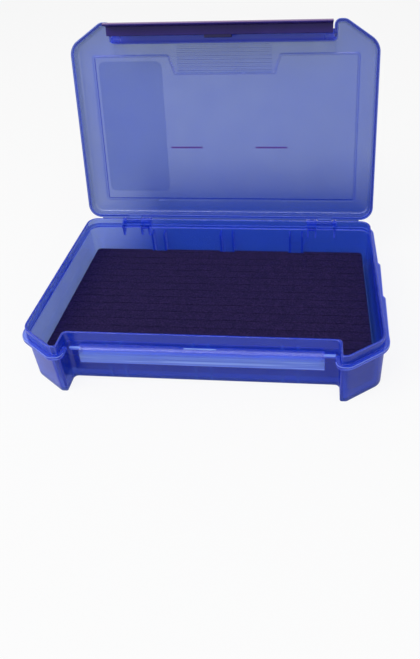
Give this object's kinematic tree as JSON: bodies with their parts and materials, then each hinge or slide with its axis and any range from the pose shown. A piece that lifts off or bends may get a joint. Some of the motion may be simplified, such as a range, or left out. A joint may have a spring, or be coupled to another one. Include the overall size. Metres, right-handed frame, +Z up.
{
  "type": "slit foam case",
  "caption": "Flat hinged case in see-through blue plastic with a full-width front latch bar, a catch ledge and a bed of slit foam for hooks and small lures.",
  "frame": {"origin": "middle of the tray's flat underside", "axes": "+Z up out of the tray, +X along the long side to the right, -Y to the front where the latch closes, +Y to the hinge"},
  "size_m": [0.2074, 0.1764, 0.1678],
  "materials": {
    "clear_blue_plastic": "translucent blue polypropylene with a soft gloss",
    "indigo_plastic": "dark indigo polypropylene, slightly see-through at its edges",
    "steel": "plain drawn wire",
    "foam": "fine closed-cell foam, dull, seen dark purple black",
    "adhesive_film": "double-sided film",
    "label_film": "pale satin film with nothing printed on it"
  },
  "bodies": {
    "tray_body": {"tray": "clear_blue_plastic", "hinge_pin_left": "steel", "hinge_pin_right": "steel", "slit_foam": "foam", "foam_adhesive": "adhesive_film"},
    "lid_body": {"lid": "clear_blue_plastic", "lid_label": "label_film"},
    "latch_body": {"latch": "indigo_plastic"}
  },
  "joints": [
    {"name": "lid_hinge", "type": "hinge", "parent": "tray_body", "child": "lid_body", "pos_m": [0, 0.0705, 0.0285], "axis": [1, 0, 0], "range_deg": [0, 102.4]},
    {"name": "latch_hinge", "type": "hinge", "parent": "lid_body", "child": "latch_body", "pos_m": [0, 0.10283, 0.1546], "axis": [1, 0, 0], "range_deg": [-83, 7]}
  ]
}
